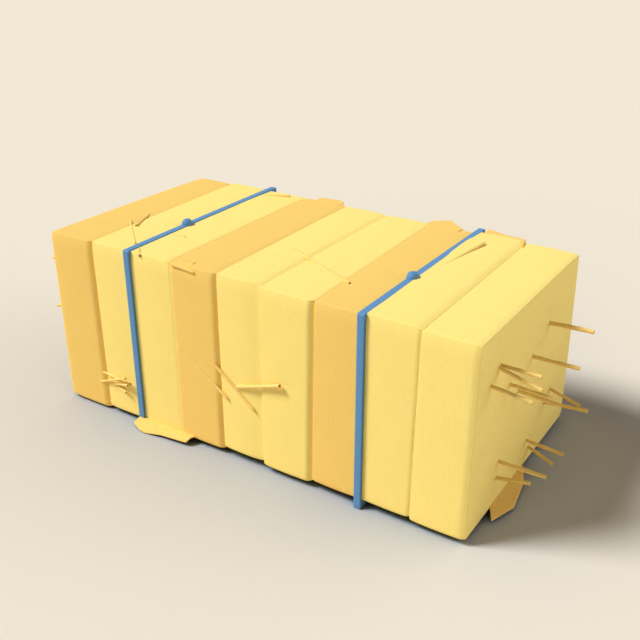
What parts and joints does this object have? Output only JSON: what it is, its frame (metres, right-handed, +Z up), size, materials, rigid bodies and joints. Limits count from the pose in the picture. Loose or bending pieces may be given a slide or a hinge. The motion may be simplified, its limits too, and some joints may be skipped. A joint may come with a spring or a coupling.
{
  "type": "straw bale",
  "caption": "Small rectangular bale of pressed straw flakes tied with loops of blue twine, with loose straws sticking out; a seat, a target backing or bedding.",
  "frame": {"origin": "on the surface that the bale lies on, under the middle of the bale", "axes": "+X along the bale's length, to the right of someone facing its front; the front looks toward -Y; +Z up"},
  "size_m": [1.088, 0.5209, 0.3933],
  "materials": {
    "pale_straw": "matt pressed straw, pale yellow",
    "amber_straw": "matt pressed straw, amber",
    "chaff": "matt pressed chaff, amber",
    "loose_straw": "dry straw stalk with a slight sheen",
    "blue_twine": "blue baler twine of twisted fibre, dull"
  },
  "bodies": {
    "root": {"flake_1": "amber_straw", "flake_2": "pale_straw", "flake_3": "pale_straw", "flake_4": "amber_straw", "flake_5": "pale_straw", "flake_6": "pale_straw", "flake_7": "amber_straw", "flake_8": "pale_straw", "flake_9": "pale_straw", "straw_back_1": "loose_straw", "straw_back_2": "loose_straw", "straw_back_3": "loose_straw", "straw_back_4": "loose_straw", "straw_front_1": "loose_straw", "straw_front_2": "loose_straw", "straw_front_3": "loose_straw", "straw_front_4": "loose_straw", "straw_front_5": "loose_straw", "straw_front_6": "loose_straw", "straw_front_7": "loose_straw", "straw_left_1": "loose_straw", "straw_left_2": "loose_straw", "straw_left_3": "loose_straw", "straw_left_4": "loose_straw", "straw_left_5": "loose_straw", "straw_left_6": "loose_straw", "straw_left_7": "loose_straw", "straw_left_8": "loose_straw", "straw_right_1": "loose_straw", "straw_right_10": "loose_straw", "straw_right_11": "loose_straw", "straw_right_12": "loose_straw", "straw_right_13": "loose_straw", "straw_right_2": "loose_straw", "straw_right_3": "loose_straw", "straw_right_4": "loose_straw", "straw_right_5": "loose_straw", "straw_right_6": "loose_straw", "straw_right_7": "loose_straw", "straw_right_8": "loose_straw", "straw_right_9": "loose_straw", "straw_top_1": "loose_straw", "straw_top_2": "loose_straw", "straw_top_3": "loose_straw", "straw_top_4": "loose_straw", "straw_top_5": "loose_straw", "straw_top_6": "loose_straw", "straw_top_7": "loose_straw", "twine_left": "blue_twine", "twine_right": "blue_twine", "wad_back_left": "chaff", "wad_back_middle": "chaff", "wad_back_right": "chaff", "wad_front_foot": "chaff", "wad_front_top": "chaff", "wad_right_foot": "chaff"}
  },
  "joints": []
}
